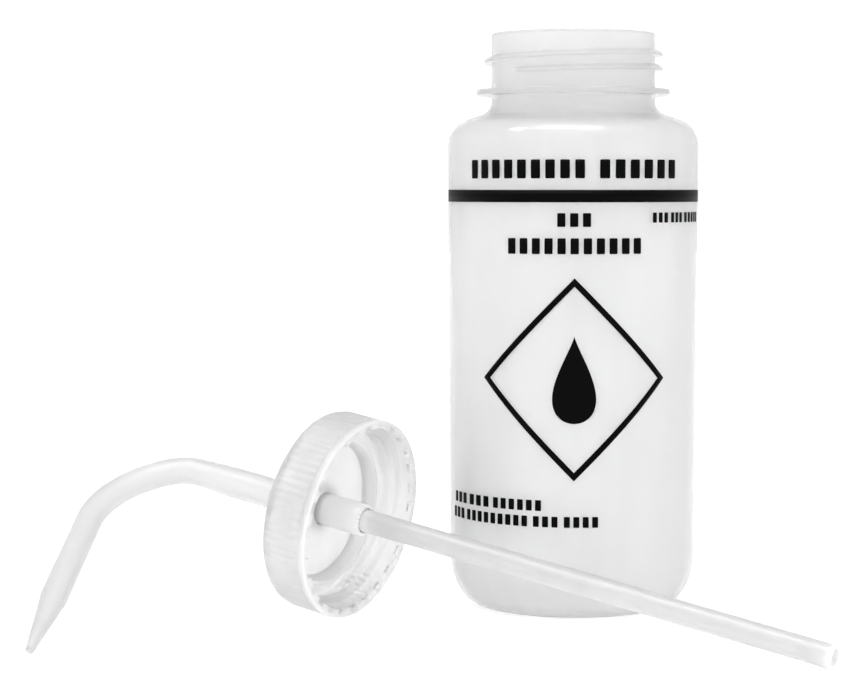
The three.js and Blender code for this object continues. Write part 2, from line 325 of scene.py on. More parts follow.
def piece_from(name, points, quads, triangles):
    """A mesh object at the origin, with its faces turned outwards.

    The faces point outwards where the sum of the volumes between each triangle and the origin is positive.
    """
    halves = np.concatenate([quads[:, [0, 1, 2]], quads[:, [0, 2, 3]], triangles]).astype(int)
    corners = points[halves]
    if np.einsum("ij,ij->", corners[:, 0], np.cross(corners[:, 1], corners[:, 2])) < 0:
        quads, triangles = quads[:, ::-1], triangles[:, ::-1]
    mesh = bpy.data.meshes.new(name)
    loops = np.concatenate([quads.ravel(), triangles.ravel()])
    totals = np.concatenate([np.full(len(quads), 4), np.full(len(triangles), 3)])
    mesh.vertices.add(len(points))
    mesh.vertices.foreach_set("co", points.astype(np.float32).ravel())
    mesh.loops.add(len(loops))
    mesh.loops.foreach_set("vertex_index", loops.astype(np.int32))
    mesh.polygons.add(len(totals))
    mesh.polygons.foreach_set("loop_start", (np.cumsum(totals) - totals).astype(np.int32))
    mesh.update(calc_edges=True)
    if mesh.validate():
        raise RuntimeError(f"the mesh of {name} had faces that had to be mended")
    mesh.shade_smooth()
    made = bpy.data.objects.new(name, mesh)
    bpy.context.scene.collection.objects.link(made)
    return made


def skin(name, rings, thick=None, poled=False):
    """A closed piece over rings of points.

    thick, where it is given, is how solid the plastic is at each point, from 0 to 1. A pole point has none.
    """
    made = piece_from(name, *closed_grid(rings, poled))
    if thick is not None:
        solid = np.broadcast_to(thick, rings.shape[:2]).ravel()
        values = np.zeros(len(made.data.vertices), np.float32)
        values[: len(solid)] = solid
        made.data.attributes.new(THICK_AND_PAINTED_LIGHT, "FLOAT", "POINT").data.foreach_set("value", values)
    return made


def finish_piece(made, body, slot, material, *replaced):
    made.data.materials.append(material)
    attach(made, body)
    if replaced:
        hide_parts(*replaced)
    return made


def ridge(angles, heights, low, start, turns, root, crest):
    """How far a helical ridge stands out at each angle and height, from 0 to 1.

    A point's distance above the ridge's middle is its height over the ridge's lower end, less the pitch times
    the turns run so far.
    The ridge is full within half the crest of its middle and gone at half the root, with smooth flanks,
    and its two ends rise as a sine over a short run-in.
    """
    pitch = sizes("thread").pitch
    run_in = 0.06
    stand = np.zeros(np.broadcast(angles, heights).shape)
    for lap in range(math.ceil(turns)):
        turn = ((angles - start) / TAU) % 1 + lap
        off = np.abs(heights - low - pitch * turn)
        ends = np.clip(np.minimum(turn, turns - turn) / run_in, 0, 1)
        stand = np.maximum(stand, np.sin(ends * TAU / 4) * fade(off, root / 2, crest / 2))
    return stand


# ---- Materials ----


def add_node(tree, kind, inputs=None, **settings):
    """Adds a node with its settings. inputs gives sockets a plain value or another node's output."""
    made = tree.nodes.new(kind)
    for key, value in settings.items():
        setattr(made, key, value)
    for socket, value in (inputs or {}).items():
        if isinstance(value, bpy.types.NodeSocket):
            tree.links.new(value, made.inputs[socket])
        else:
            made.inputs[socket].default_value = value
    return made


def new_material(name):
    """An empty material, its node tree and the Object coordinates that its patterns are laid out in."""
    material = bpy.data.materials.new(name)
    material.use_nodes = True
    tree = material.node_tree
    tree.nodes.clear()
    return material, tree, add_node(tree, "ShaderNodeTexCoord").outputs["Object"]


def moulded_polyolefin(name, pale, deep, streak, look):
    """A milky, waxy polyolefin.

    Light passes through the wall but is spread on the way, so what is behind shows only as pale and dark,
    and the skin has a soft gloss of its own. streak is the size in millimetres, along each axis, of the
    cloudier streaks that the melt's flow leaves.

    In look, clear is the share of light that passes straight on through the wall, spread the share of the
    rest that wanders inside it, and scatter how far in millimetres it wanders. ior is how sharply the wall
    bends light, and thick the tint where the plastic is thick; on the bottle's thread and lip that tint is
    painted shade, and round the cap's bore it is painted light. A share that is a pair goes from its first
    number where the plastic is thin to its second where it is thick. grain and wave are how strong the
    skin's fine and broad bumps are.
    """
    material, tree, place = new_material(name)
    flow = add_node(
        tree, "ShaderNodeMapping", {"Vector": place, "Scale": [1 / (size * MM) for size in streak]}
    ).outputs["Vector"]
    cloud = add_node(
        tree, "ShaderNodeTexNoise", {"Vector": flow, "Scale": 1.0, "Detail": 3.0, "Roughness": 0.55}
    ).outputs["Fac"]
    milk = add_node(
        tree, "ShaderNodeMapRange", {"Value": cloud, "From Min": 0.3, "From Max": 0.7}
    ).outputs["Result"]
    dull = add_node(
        tree,
        "ShaderNodeMapRange",
        {"Value": milk, "To Min": look["roughness"] - 0.04, "To Max": look["roughness"] + 0.04},
    ).outputs["Result"]
    tint = add_node(
        tree, "ShaderNodeMix", {"Factor": milk, MIX_A: (*pale, 1), MIX_B: (*deep, 1)}, data_type="RGBA"
    ).outputs[MIX_RESULT]
    # Where more of the milky plastic lies one behind the other, it has a tint and clearness of its own. On
    # the bottle's thread and lip this tint is painted shade, and round the cap's bore it is painted light.
    solid = add_node(tree, "ShaderNodeAttribute", attribute_name=THICK_AND_PAINTED_LIGHT).outputs["Fac"]
    tint = add_node(
        tree, "ShaderNodeMix", {"Factor": solid, MIX_A: tint, MIX_B: (*look["thick"], 1)}, data_type="RGBA"
    ).outputs[MIX_RESULT]
    shares = {"Transmission Weight": look["clear"], "Subsurface Weight": look["spread"]}
    for socket, share in shares.items():
        if isinstance(share, tuple):
            ends = {"Value": solid, "To Min": share[0], "To Max": share[1]}
            shares[socket] = add_node(tree, "ShaderNodeMapRange", ends).outputs["Result"]
    # The mould's fine matt grain is under 0.1 mm, so it is drawn at 0.6 mm to show at all.
    grain = add_node(
        tree, "ShaderNodeTexNoise", {"Vector": place, "Scale": 1 / (0.6 * MM), "Detail": 2.0}
    ).outputs["Fac"]
    fine = add_node(
        tree, "ShaderNodeBump", {"Height": grain, "Strength": look["grain"], "Distance": 0.02 * MM}
    ).outputs["Normal"]
    skin_normal = add_node(
        tree,
        "ShaderNodeBump",
        {"Height": cloud, "Normal": fine, "Strength": look["wave"], "Distance": 0.6 * MM},
    ).outputs["Normal"]
    surface = add_node(
        tree,
        "ShaderNodeBsdfPrincipled",
        {
            "Base Color": tint,
            "Roughness": dull,
            "Normal": skin_normal,
            # A milky wall bends light less sharply than clear plastic does, so its index is lower.
            "IOR": look["ior"],
            **shares,
            "Subsurface Radius": (1.0, 1.0, 1.0),
            "Subsurface Scale": look["scatter"] * MM,
            "Coat Weight": look["coat"],
            "Coat Roughness": look["coat_roughness"],
            "Coat IOR": look["coat_ior"],
        },
    ).outputs["BSDF"]
    add_node(tree, "ShaderNodeOutputMaterial", {"Surface": surface})
    return material


def natural_ldpe(name, streak, **look):
    """Natural low-density polyethylene, blown or drawn: waxy and milky, clearer where the wall is thin."""
    colours = sizes("finish")
    look = {
        "ior": 1.4,
        "roughness": 0.5,
        "spread": (1.0, 0.2),
        "coat": 0.6,
        "coat_roughness": 0.32,
        "coat_ior": 1.51,
        "grain": 0.15,
        "wave": 0.2,
        **look,
    }
    return moulded_polyolefin(name, colours.ldpe_pale, colours.ldpe_deep, streak, look)


def natural_pp(name, streak):
    """Natural polypropylene, injection moulded: greyer and smoother than LDPE, with a fainter gloss."""
    colours = sizes("finish")
    look = {
        "ior": 1.25,
        "roughness": 0.42,
        "clear": (0.65, 0.15),
        "spread": (1.0, 0.3),
        "scatter": 7.0,
        # This tint is the plastic's own in the sealing ring and rim; round the bore the same tint is painted
        # light.
        "thick": colours.pp_pale,
        "coat": 0.2,
        "coat_roughness": 0.35,
        "coat_ior": 1.49,
        "grain": 0.12,
        "wave": 0.12,
    }
    return moulded_polyolefin(name, colours.pp_pale, colours.pp_deep, streak, look)


def screen_print_ink():
    """Screen-print ink: an opaque, matt black film whose density varies a little."""
    material, tree, place = new_material("screen-print ink, black")
    # The screen's mesh is about 0.1 mm, drawn at 0.5 mm so that it shows.
    weave = add_node(
        tree, "ShaderNodeTexNoise", {"Vector": place, "Scale": 1 / (0.5 * MM), "Detail": 2.0}
    ).outputs["Fac"]
    ink = np.array(sizes("finish").ink)
    tint = add_node(
        tree,
        "ShaderNodeMix",
        {"Factor": weave, MIX_A: (*(ink * 0.6), 1), MIX_B: (*(ink * 1.5), 1)},
        data_type="RGBA",
    ).outputs[MIX_RESULT]
    dull = add_node(
        tree, "ShaderNodeMapRange", {"Value": weave, "To Min": 0.38, "To Max": 0.55}
    ).outputs["Result"]
    bump = add_node(
        tree, "ShaderNodeBump", {"Height": weave, "Strength": 0.1, "Distance": 0.02 * MM}
    ).outputs["Normal"]
    surface = add_node(
        tree,
        "ShaderNodeBsdfPrincipled",
        {"Base Color": tint, "Roughness": dull, "Normal": bump, "IOR": 1.5, "Specular IOR Level": 0.04},
    ).outputs["BSDF"]
    add_node(tree, "ShaderNodeOutputMaterial", {"Surface": surface})
    return material


def bench_laminate():
    """A pale, matt bench top with a faint, even mottle.

    It gives off a little light of its own, so that it stays as white as the studio round it.
    """
    material, tree, place = new_material("bench laminate, matt pale")
    mottle = add_node(
        tree, "ShaderNodeTexNoise", {"Vector": place, "Scale": 1 / (12 * MM), "Detail": 4.0}
    ).outputs["Fac"]
    pale = np.array(sizes("finish").floor)
    tint = add_node(
        tree,
        "ShaderNodeMix",
        {"Factor": mottle, MIX_A: (*(pale * 0.99), 1), MIX_B: (*pale, 1)},
        data_type="RGBA",
    ).outputs[MIX_RESULT]
    surface = add_node(
        tree,
        "ShaderNodeBsdfPrincipled",
        {
            "Base Color": tint,
            "Roughness": 0.9,
            "Specular IOR Level": 0.2,
            "Emission Color": (1, 1, 1, 1),
            "Emission Strength": 0.4,
        },
    ).outputs["BSDF"]
    add_node(tree, "ShaderNodeOutputMaterial", {"Surface": surface})
    return material


# ---- Bottle ----


def side_measures(inset, neck_inset):
    """Radii and heights that the bottle's outside (inset 0) and inside (inset by the wall) are drawn from."""
    b = sizes("bottle")
    flange_low = b.height - b.finish - b.flange_thickness
    flare_top = flange_low - b.flange_clearance
    turn = TAU / 4 - b.slope
    flare, shoulder = b.flare + inset, b.shoulder - inset
    neck, low, high = b.neck - neck_inset, b.radius - b.draft - inset, b.radius - inset
    flare_centre = (neck + flare, flare_top)
    flare_end = (flare_centre[0] - flare * math.cos(turn), flare_top - flare * math.sin(turn))
    shoulder_end = high - shoulder + shoulder * math.cos(turn)
    drop = (shoulder_end - flare_end[0]) * math.tan(b.slope)
    shoulder_centre = (high - shoulder, flare_end[1] - drop - shoulder * math.sin(turn))
    return {
        "neck": neck,
        "low": low,
        "high": high,
        "turn": turn,
        "flare": flare,
        "shoulder": shoulder,
        "flare_centre": flare_centre,
        "shoulder_centre": shoulder_centre,
        "corner": (b.corner_width - inset, b.corner_height - inset),
        "corner_centre": (low - (b.corner_width - inset), b.corner_height),
        "flange_low": flange_low,
    }


def base_run(inset, steps):
    """The base from near its middle out to its standing ring, as a raised dish.

    Its height is the push-up times half of one plus the cosine of pi times the share of the radius, raised
    to a power that keeps the middle flat.
    """
    b = sizes("bottle")
    ring = b.radius - b.draft - b.corner_width
    share = np.linspace(0.03, 1, steps + 1)
    dish = b.push_up * (0.5 + 0.5 * np.cos(math.pi * share**4))
    return np.column_stack([share * ring, inset + dish])


def side_run(inset, neck_inset, steps):
    """One side of the wall, from the base's middle up to the neck.

    A dished base, a quarter ellipse, a straight side with a slight draft, the shoulder's arc, a short
    straight slope and the flare's arc, which turns the other way.
    """
    m = side_measures(inset, neck_inset)
    return section(
        base_run(inset, steps),
        arc(m["corner_centre"], m["corner"], -TAU / 4, 0, 2 * steps),
        line((m["low"], m["corner_centre"][1]), (m["high"], m["shoulder_centre"][1]), steps),
        arc(m["shoulder_centre"], m["shoulder"], 0, m["turn"], steps),
        arc(m["flare_centre"], m["flare"], TAU / 2 + m["turn"], TAU / 2, steps),
    )


def neck_run():
    """The outside of the neck: the flange with rounded edges and fillets, the threaded wall and the lip."""
    b = sizes("bottle")
    low = side_measures(0, 0)["flange_low"]
    top = low + b.flange_thickness
    reach, upper_fillet = b.neck + b.flange_reach, b.flange_fillet / 2
    return section(
        rounded((b.neck, low), b.flange_fillet, 2, 1, 5),
        rounded((reach, low), b.flange_edge, -1, 0, 4),
        rounded((reach, top), b.flange_edge, 0, 1, 4),
        rounded((b.neck, top), upper_fillet, -1, -2, 4),
        line((b.neck, top + upper_fillet), (b.neck, b.height - b.lip), 104),
        rounded((b.neck, b.height), b.lip, 0, 1, 5),
        rounded((b.neck - b.neck_wall, b.height), b.lip, 1, 2, 5),
    )


def bottle_rings(columns):
    """The bottle's whole skin: its section turned round the axis, with the thread, crease and ripple added.

    The thread is a helical ridge that moves points outwards and, by the square of how far, downwards. The
    crease is a narrow bell curve round the base corner. The ripple moves the blown wall by a sum of slow
    waves in angle and height. The thread's ridges and the rim's lip are marked thick, which gives them a
    darker tint: painted shade.
    """
    b, t = sizes("bottle"), sizes("thread")
    outside, inside = side_run(0, 0, 13), side_run(b.wall, b.neck_wall, 10)[::-1]
    points = section(outside, neck_run(), inside)
    radius, height = points[:, :1], points[:, 1:]
    angles = around(columns)
    top = b.height - b.finish
    on_wall = (np.abs(radius - b.neck) < SAME_POINT) & (height > top)
    stand = on_wall * ridge(
        angles, height, top + t.neck_rise, t.neck_start, t.neck_turns, t.neck_root, t.neck_crest
    )
    is_outside = (np.arange(len(points)) < len(outside))[:, None]
    blown = fade(height, 4 * MM, 18 * MM) * fade(height, top - 6 * MM, top - 26 * MM)
    wander = np.sin(2 * angles + 25 * height + 0.6) + 0.6 * np.sin(3 * angles - 41 * height)
    wander = wander + 0.4 * np.sin(7 * angles + 60 * height + 1.9)
    crease = np.exp(-(((height - b.crease_height) / b.crease_width) ** 2))
    radii = (
        radius
        + t.height * stand
        - b.ripple / 2 * blown * (1 + wander / 2)
        - b.crease_depth * crease * is_outside
    )
    heights = height - t.neck_droop * stand**2
    on_neck = heights > top - b.flange_thickness - 1.5 * MM
    # Painted shade: the thread's ridges and the rim's lip are marked thick, so they take the darker tint.
    fin_shade_mask = fade(radii, b.neck + 0.3 * MM, b.neck + 1.5 * MM) * on_neck
    lip = 0.6 * fade(heights, b.height - 0.9 * MM, b.height - 0.4 * MM)
    return turned(radii, heights, angles), np.maximum(fin_shade_mask, lip)


class MakeBottle(bpy.types.Operator):
    """Makes the blown bottle with its threaded neck"""

    bl_idname = "wash_bottle.bottle"
    bl_label = "Bottle"

    def execute(self, context):
        rings, thick = bottle_rings(288)
        made = skin("bottle_shell", rings, thick, poled=True)
        material = natural_ldpe(
            "LDPE natural, blow-moulded",
            (18, 18, 60),
            clear=0.6,
            spread=1.0,
            scatter=5,
            # The bottle's thick tint is painted shade on its thread and lip.
            thick=sizes("finish").fin_and_lip_shade,
            ior=1.25,
            coat_roughness=0.16,
        )
        finish_piece(made, "bottle", "bottle", material, "bottle")
        return {"FINISHED"}


# ---- Print ----


def wrapped(across, up, proud):
    """Flat print carried onto the bottle.

    The distance across, over the wall's radius at that height, is an angle from the print's middle, and
    proud is added to the radius.
    """
    m = side_measures(0, 0)
    rise = (up - m["corner_centre"][1]) / (m["shoulder_centre"][1] - m["corner_centre"][1])
    radius = m["low"] + (m["high"] - m["low"]) * rise
    angles = across / radius + sizes("print").centre - TAU / 4
    return turned(radius + proud, up, angles)


def frame_rings(outer, inner):
    """A flat frame of ink between two outlines of (across, up) points, as a thin closed slab."""
    ink = sizes("print").ink
    corners = [(inner, -ink), (inner, ink), (outer, ink), (outer, -ink)]
    return np.stack([wrapped(path[0], path[1], proud) for path, proud in corners])


def spot_rings(outline, centre, rings):
    """A filled spot of ink: an outline drawn in towards its centre, front and back, as a closed slab."""
    ink = sizes("print").ink
    shares = np.concatenate([np.linspace(0.05, 1, rings), np.linspace(1, 0.05, rings)])
    proud = np.repeat([-ink, ink], rings)
    across = centre[0] + shares[:, None] * (outline[0] - centre[0])
    up = centre[1] + shares[:, None] * (outline[1] - centre[1])
    return wrapped(across, up, proud[:, None])


def rhombus(wide, tall, per_side):
    """A rhombus's outline: the share along each side moves evenly from one corner to the next."""
    corners = np.array([(wide, 0), (0, tall), (-wide, 0), (0, -tall)])
    share = np.linspace(0, 1, per_side, endpoint=False)[:, None]
    sides = [start + share * (end - start) for start, end in zip(corners, np.roll(corners, -1, 0))]
    return np.concatenate(sides).T


def drop(wide, tall, columns):
    """A water drop: up is the turn's cosine, across its sine times the half-turn's sine to the power 1.6."""
    turn = np.linspace(0, TAU, columns, endpoint=False)
    across = 1.3 * wide * np.sin(turn) * np.abs(np.sin(turn / 2)) ** 1.6
    return np.stack([across, tall * np.cos(turn)])


def block(left, right, low, high, columns):
    """A rectangle with soft corners: a superellipse, the cosine and sine each raised to a small power."""
    turn = np.linspace(0, TAU, columns, endpoint=False)
    power = 0.16
    x = np.sign(np.cos(turn)) * np.abs(np.cos(turn)) ** power
    z = np.sign(np.sin(turn)) * np.abs(np.sin(turn)) ** power
    return np.stack([(left + right) / 2 + x * (right - left) / 2, (low + high) / 2 + z * (high - low) / 2])


# Rows of plain blocks, in place of lettering: left and right end from the print's middle, lower edge and
# height, in millimetres, and how many blocks.
BLOCK_ROWS = (
    (-34.0, 2.8, 126.9, 5.35, 9),
    (7.1, 33.1, 126.9, 5.35, 6),
    (-5.0, 4.6, 113.2, 3.9, 3),
    (-19.8, 19.8, 105.5, 4.5, 11),
    (24.0, 30.0, 114.3, 2.9, 3),
    (31.5, 37.0, 114.3, 2.9, 3),
    (38.5, 50.0, 114.3, 2.9, 5),
    (-44.5, -37.0, 32.2, 3.1, 3),
    (-35.2, -26.8, 32.2, 3.1, 3),
    (-25.0, -9.4, 32.2, 3.1, 6),
    (-45.6, -38.4, 27.6, 3.1, 3),
    (-36.6, -13.6, 27.6, 3.1, 9),
    (-11.8, -4.6, 27.6, 3.1, 3),
    (-2.8, 7.0, 27.6, 3.1, 4),
)


def block_outlines():
    """Every block of every row: equal blocks and gaps, the blocks taking their share of the row."""
    share = sizes("print").block_share
    for left, right, low, high, number in BLOCK_ROWS:
        step = (right - left) / (number - 1 + share)
        for start in left + step * np.arange(number):
            yield np.array([start, start + step * share, low, low + high]) * MM


class MakePrint(bpy.types.Operator):
    """Prints the band, the plain rhombus with its drop, and the rows of plain blocks"""

    bl_idname = "wash_bottle.print"
    bl_label = "Print"

    def execute(self, context):
        p = sizes("print")
        ink = screen_print_ink()
        around_wall = np.linspace(0, TAU, 288, endpoint=False) * sizes("bottle").radius
        level = np.ones_like(around_wall)
        edges = [(around_wall, level * up) for up in (p.band_high, p.band_low)]
        finish_piece(skin("print_band", frame_rings(*edges)), "bottle", "label_ink", ink)

        slant = math.hypot(p.rhombus_wide, p.rhombus_tall)
        wide = p.rhombus_wide - p.stroke * slant / p.rhombus_tall
        tall = p.rhombus_tall - p.stroke * slant / p.rhombus_wide
        middle = np.array([[0], [p.rhombus_height]])
        outer = rhombus(p.rhombus_wide, p.rhombus_tall, 48) + middle
        inner = rhombus(wide, tall, 48) + middle
        finish_piece(skin("print_rhombus", frame_rings(outer, inner)), "bottle", "label_ink", ink)

        low_middle = middle - [[0], [p.drop_tall / 4]]
        outline = drop(p.drop_wide, p.drop_tall, 120) + middle
        rings = spot_rings(outline, low_middle[:, 0], 14)
        finish_piece(skin("print_drop", rings, poled=True), "bottle", "label_ink", ink)

        points, quads, triangles, total = [], [], [], 0
        for left, right, low, high in block_outlines():
            outline = block(left, right, low, high, 40)
            rings = spot_rings(outline, ((left + right) / 2, (low + high) / 2), 3)
            some, four, three = closed_grid(rings, True)
            points.append(some)
            quads.append(four + total)
            triangles.append(three + total)
            total += len(some)
        joined = [np.concatenate(part) for part in (points, quads, triangles)]
        finish_piece(piece_from("print_blocks", *joined), "bottle", "label_ink", ink)
        return {"FINISHED"}


# ---- Closure ----


def bend_runs():
    """The centreline's runs from the socket's mouth: each one's length and how sharply it curves."""
    s, c = sizes("spout"), sizes("cap")
    return (
        (c.height + s.reach + s.straight, 0.0),
        (s.first_radius * s.first_bend, 1 / s.first_radius),
        (s.second_radius * s.second_bend, 1 / s.second_radius),
        (s.outlet_length, 0.0),
    )


def centreline(along):
    """Place and heading at distances along the spout's centreline.

    The heading is the sum of curvature times distance. On a straight run the place moves along the heading,
    and on an arc by the change in the heading's sine and cosine over the curvature.
    """
    place = np.zeros((2,) + np.shape(along))
    place[0] -= sizes("cap").height + sizes("spout").reach
    heading = np.zeros_like(along)
    before = 0.0
    for run, curve in bend_runs():
        part = np.clip(along - before, 0, run)
        after = heading + curve * part
        if curve:
            place[0] += (np.sin(after) - np.sin(heading)) / curve
            place[1] += (np.cos(heading) - np.cos(after)) / curve
        else:
            place[0] += part * np.cos(heading)
            place[1] += part * np.sin(heading)
        heading = after
        before += run
    return place, heading


def lay_down(rings):
    """Carries points from the closure's own frame to where it lies.

    The cap's turning joint gives the origin and the axis. The closure is rolled about that axis until the
    spout's tip comes down onto the bench.
    """
    origin, axis = Vector(TURN["pos_m"]), Vector(TURN["axis"]).normalized()
    tilt = -math.asin(axis.z)
    place, _ = centreline(np.array(sum(run for run, _ in bend_runs())))
    reach = origin.z + place[0] * math.sin(tilt) - sizes("spout").tip
    roll = math.asin(reach / (place[1] * math.cos(tilt)))
    turn = (
        Matrix.Rotation(math.atan2(axis.y, axis.x), 3, "Z")
        @ Matrix.Rotation(TAU / 4 + tilt, 3, "Y")
        @ Matrix.Rotation(roll - TAU / 4, 3, "Z")
    )
    return rings @ np.array(turn).T + np.array(origin)


def cap_radii():
    """The cap's main radii: inside the skirt, outside it without ribs, and outside the sealing ring."""
    b, t, c = sizes("bottle"), sizes("thread"), sizes("cap")
    inner = b.neck + t.height + t.clearance
    return inner, inner + c.wall, b.neck - b.neck_wall - c.plug_clearance


def cap_sections():
    """The cap's section twice over, point for point: between two pockets, and through a pocket.

    Both run round the face, the skirt, the open end, the threaded wall, the sealing ring and the bore. At
    the open end's inner edge the plain section turns one corner outwards, where the other steps inwards.
    """
    c = sizes("cap")
    inner, skirt, plug = cap_radii()
    bore = sizes("spout").shank + sizes("tube").fit
    top, floor, band_low = c.height, c.height - c.pocket_depth, c.height - c.band
    rib_low, rib_high = c.corner + c.rib_rise, band_low - c.rib_end
    ledge, edge = inner + c.pocket_reach, skirt + c.rib_depth
    plug_tip, plug_foot = c.disc + c.plug_height, plug - c.plug_wall - 2 * c.plug_taper
    outside = section(
        line((bore, c.disc / 2), (bore, ROUNDING), 2),
        rounded((bore, 0), ROUNDING, 2, 3, 3),
        line((bore + ROUNDING, 0), (skirt - c.corner, 0), 5),
        rounded((skirt, 0), c.corner, -1, 0, 7),
        line((skirt, c.corner), (skirt, rib_low), 4),
        line((skirt, rib_low), (skirt, rib_high), 3),
        line((skirt, rib_high), (skirt, band_low), 3),
        line((edge, band_low + c.rib_depth), (edge, top - c.lip), 3),
        rounded((edge, top), c.lip, 0, 1, 4),
        line((edge - c.lip, top), (ledge, top), 2),
    )
    steps = 7
    plain = [line((ledge, top), (inner, top), steps), line((inner, top), (inner, floor), steps)[1:]]
    pocket = [line((ledge, top), (ledge, floor), steps), line((ledge, floor), (inner, floor), steps)[1:]]
    inside = section(
        line((inner, floor), (inner, c.disc + ROUNDING), 62),
        rounded((inner, c.disc), ROUNDING, 0, -1, 2),
        line((inner - ROUNDING, c.disc), (plug + ROUNDING, c.disc), 3),
        rounded((plug, c.disc), ROUNDING, -1, -2, 2),
        rounded((plug - c.plug_taper, plug_tip), ROUNDING, 0, 1, 3),
        rounded((plug - c.plug_wall, plug_tip), ROUNDING, 1, 2, 3),
        rounded((plug_foot, c.disc), ROUNDING, 0, -1, 3),
        line((plug_foot - ROUNDING, c.disc), (bore + ROUNDING, c.disc), 6),
        rounded((bore, c.disc), ROUNDING, 1, 2, 3),
    )[1:-1]
    return [np.vstack([outside[:-1], *middle, inside]) for middle in (plain, pocket)]


def cap_rings(columns):
    """The cap's skin: its section turned round the axis, with ribs, pockets and the thread.

    A rib lifts the skirt by its depth times a raised cosine of the angle times the rib count. The pockets
    blend from the plain section to the recessed one by a smooth step in angle. The thread is a helical
    ridge that moves the inner wall inwards. The plastic counts as thick in the sealing ring and in the
    rim. Round the bore it is marked thick too, and the paler, less clear tint there is painted light that
    lifts the shade round the sleeve's root.
    """
    c, t = sizes("cap"), sizes("thread")
    inner, skirt, plug = cap_radii()
    plain, pocket = cap_sections()
    angles = around(columns)
    phase = np.abs(((angles * c.pockets / TAU) % 1) - 0.5) * 2
    cut = fade(phase, c.pocket_share + 0.03, c.pocket_share - 0.03)[..., None]
    blend = plain[:, None, :] * (1 - cut) + pocket[:, None, :] * cut
    radius, height = blend[..., 0], blend[..., 1]
    on_skirt = np.abs(radius - skirt) < SAME_POINT
    band_low = c.height - c.band
    rise = fade(height, c.corner, c.corner + c.rib_rise) * fade(height, band_low, band_low - c.rib_end)
    lift = (0.5 + 0.5 * np.cos(c.ribs * angles)) ** 0.8
    on_wall = (np.abs(radius - inner) < SAME_POINT) & (height < c.height - c.pocket_depth)
    low = c.height - t.cap_inset - t.cap_turns * t.pitch
    stand = ridge(angles, height, low, TAU / 4, t.cap_turns, t.cap_root, t.cap_crest)
    radius = radius + on_skirt * c.rib_depth * rise * lift - on_wall * t.height * stand
    seal = (radius < plug + 0.1 * MM) & (height > c.disc + 0.4 * MM)
    rim = 0.8 * fade(height, c.height - 1.4 * MM, c.height - 0.6 * MM)
    sleeve = sizes("spout").sleeve
    # Painted light: round the sleeve's root the face is marked thick, so its paler, less clear tint lifts the
    # shade there.
    hub = fade(radius, sleeve + 3 * MM, sleeve + 1 * MM) * (height < c.disc + 0.1 * MM)
    return turned(radius, height, angles), np.maximum(np.maximum(seal, rim), hub)


class MakeCap(bpy.types.Operator):
    """Makes the screw cap with its ribs, thread, sealing ring and rim pockets"""

    bl_idname = "wash_bottle.cap"
    bl_label = "Screw cap"

    def execute(self, context):
        rings, thick = cap_rings(640)
        made = skin("screw_cap_shell", lay_down(rings), thick)
        material = natural_pp("PP natural, injection-moulded", (9, 9, 9))
        finish_piece(made, "screw_cap", "screw_cap", material, "screw_cap")
        return {"FINISHED"}


def carried(radius, along, angles):
    """A round section carried along the spout's centreline.

    A point's radius times the cosine of its angle goes sideways in the bend's plane, square to the heading,
    and times the sine of its angle square to that plane.
    """
    place, heading = centreline(along)
    side, square = radius * np.cos(angles), radius * np.sin(angles)
    outward = place[0] - np.sin(heading) * side
    sideways = place[1] + np.cos(heading) * side
    return np.stack([sideways, -square, -outward], axis=-1)


def spout_rings(columns):
    """The spout's skin: a stepped socket and shank, a collar, a bent tube and a drawn tip, hollow throughout.

    The notches round the socket's mouth push its end face in where a cosine of the angle is positive. The
    plastic counts as thick as far as the cap's face.
    """
    s, c, tube = sizes("spout"), sizes("cap"), sizes("tube")
    runs = [run for run, _ in bend_runs()]
    face = c.height + s.reach
    bend_start, bend_end, total = runs[0], sum(runs[:3]), sum(runs)
    cone = total - s.cone
    hub = face - c.disc - tube.fit
    collar_low, collar_high = face + tube.fit, face + tube.fit + s.collar_thickness
    collar = s.shank + s.collar_reach
    shank_end, tip_land = face + s.shank_length - 2 * MM, total - 2 * MM
    bends = section(
        line((s.bend, bend_start), (s.outlet, bend_end), 60),
        line((s.outlet, bend_end), (s.outlet, cone), 10),
    )
    socket = tube.radius + tube.fit
    deep = tube.insertion + tube.fit
    outer = section(
        line((socket + ROUNDING, 0), (s.sleeve - ROUNDING, 0), 2),
        rounded((s.sleeve, 0), ROUNDING, -1, 0, 3),
        line((s.sleeve, ROUNDING), (s.sleeve, hub), 6),
        line((s.shank, hub), (s.shank, collar_low), 3),
        rounded((collar, collar_low), ROUNDING, -1, 0, 3),
        rounded((collar, collar_high), ROUNDING, 0, 1, 3),
        rounded((s.shank, collar_high), ROUNDING, -1, -2, 3),
        line((s.shank, collar_high + ROUNDING), (s.shank, shank_end), 6),
        line((s.shank, shank_end), (s.bend, bend_start), 8),
        bends,
        line((s.outlet, cone), (s.tip, total - s.tip_ease), 24),
        rounded((s.tip, total), s.tip_ease, 0, 1, 4),
    )
    inner = section(
        line((s.tip_bore, total), (s.tip_bore, tip_land), 2),
        line((s.tip_bore, tip_land), (s.outlet - s.wall, cone), 12),
        (bends - (s.wall, 0))[::-1],
        line((s.bend - s.wall, bend_start), (s.bend - s.wall, deep), 6),
        line((socket, deep), (socket, ROUNDING), 6),
        rounded((socket, 0), ROUNDING, 2, 3, 3),
    )[:-1]
    points = section(outer, inner)
    radius, along = points[:, :1], points[:, 1:]
    angles = around(columns)
    notch = fade(np.cos(s.notches * angles), 0, 0.5) * fade(along, 0.5 * MM, 0)
    along = along + s.notch_depth * notch * (radius > socket + 0.25 * MM)
    thick = fade(along, face + 4 * MM, face - 4 * MM)
    return carried(np.broadcast_to(radius, along.shape), along, angles), thick


